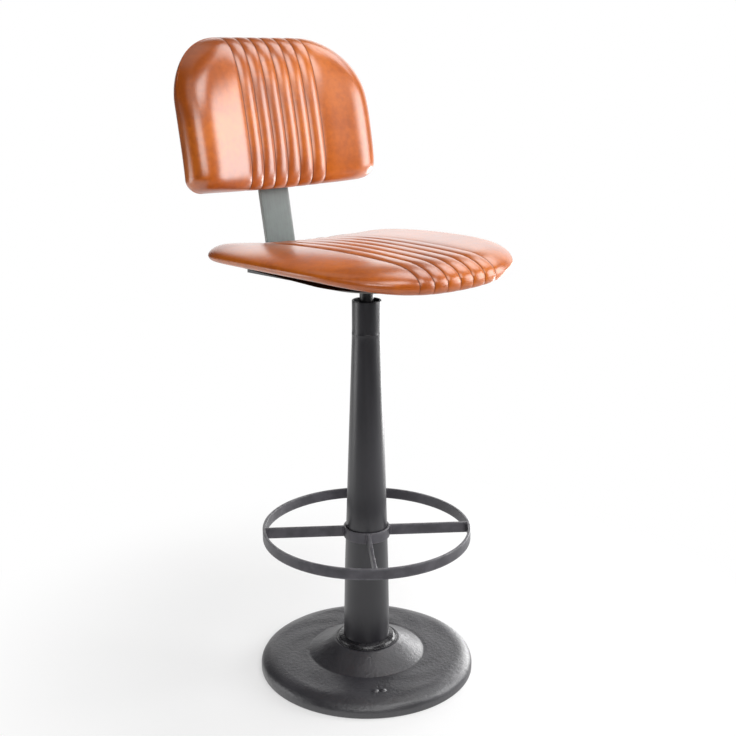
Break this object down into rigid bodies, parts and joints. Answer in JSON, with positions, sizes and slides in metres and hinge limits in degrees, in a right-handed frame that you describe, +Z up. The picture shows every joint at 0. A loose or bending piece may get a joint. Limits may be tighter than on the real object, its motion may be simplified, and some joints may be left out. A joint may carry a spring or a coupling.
{
  "type": "swivel stool",
  "caption": "Tall swivel stool: ribbed leather seat and back on a bent flat bar, tapered column with a foot ring, heavy domed round base.",
  "frame": {"origin": "on the floor, on the swivel axis, at the centre of the floor pad's underside", "axes": "+Z up along the swivel axis, -Y towards the front of the seat, +X to the sitter's left"},
  "size_m": [0.39, 0.526, 1.0813],
  "materials": {
    "cast_iron": "rough sand-cast skin, dark grey paint",
    "floor_rubber": "matt",
    "column_paint": "satin dark grey paint",
    "ring_paint": "satin dark grey paint on flat bar",
    "bright_steel": "plain zinc grey",
    "plain_steel": "mill finish",
    "bush_plastic": "black nylon",
    "thrust_brass": "turned",
    "black_steel": "satin black",
    "upright_steel": "satin green-grey",
    "spacer_rubber": "matt",
    "plywood": "dark-stained ply",
    "dust_cloth": "thin black cloth",
    "tan_leather": "glossy waxed tan hide",
    "back_leather": "glossy waxed tan hide"
  },
  "bodies": {
    "stand": {"base_casting": "cast_iron", "floor_pad": "floor_rubber", "column": "column_paint", "foot_ring": "ring_paint", "foot_spoke_front": "ring_paint", "foot_spoke_right": "ring_paint", "foot_spoke_back": "ring_paint", "foot_spoke_left": "ring_paint", "foot_collar": "ring_paint", "foot_flange": "bright_steel", "tie_bolt": "bright_steel", "tie_washer": "bright_steel", "collar_screws": "bright_steel", "column_end_plate": "plain_steel", "bearing_tube": "plain_steel", "bearing_floor_plate": "plain_steel", "upper_bush": "bush_plastic", "lower_bush": "bush_plastic", "thrust_washer": "thrust_brass"},
    "seat": {"spindle": "black_steel", "retaining_ring": "bright_steel", "seat_hub": "black_steel", "hub_pin": "bright_steel", "seat_plate": "black_steel", "back_upright": "upright_steel", "bar_bolts": "bright_steel", "bar_nuts": "bright_steel", "seat_screws": "bright_steel", "seat_tee_nuts": "bright_steel", "seat_spacers": "spacer_rubber", "dust_cover": "dust_cloth", "seat_board": "plywood", "seat_cushion": "tan_leather", "back_screws": "bright_steel", "back_tee_nuts": "bright_steel", "back_cover": "back_leather", "back_board": "plywood", "back_cushion": "tan_leather"}
  },
  "joints": [
    {"name": "seat_swivel", "type": "hinge", "parent": "stand", "child": "seat", "pos_m": [0, 0, 0.6], "axis": [0, 0, 1], "continuous": true}
  ]
}
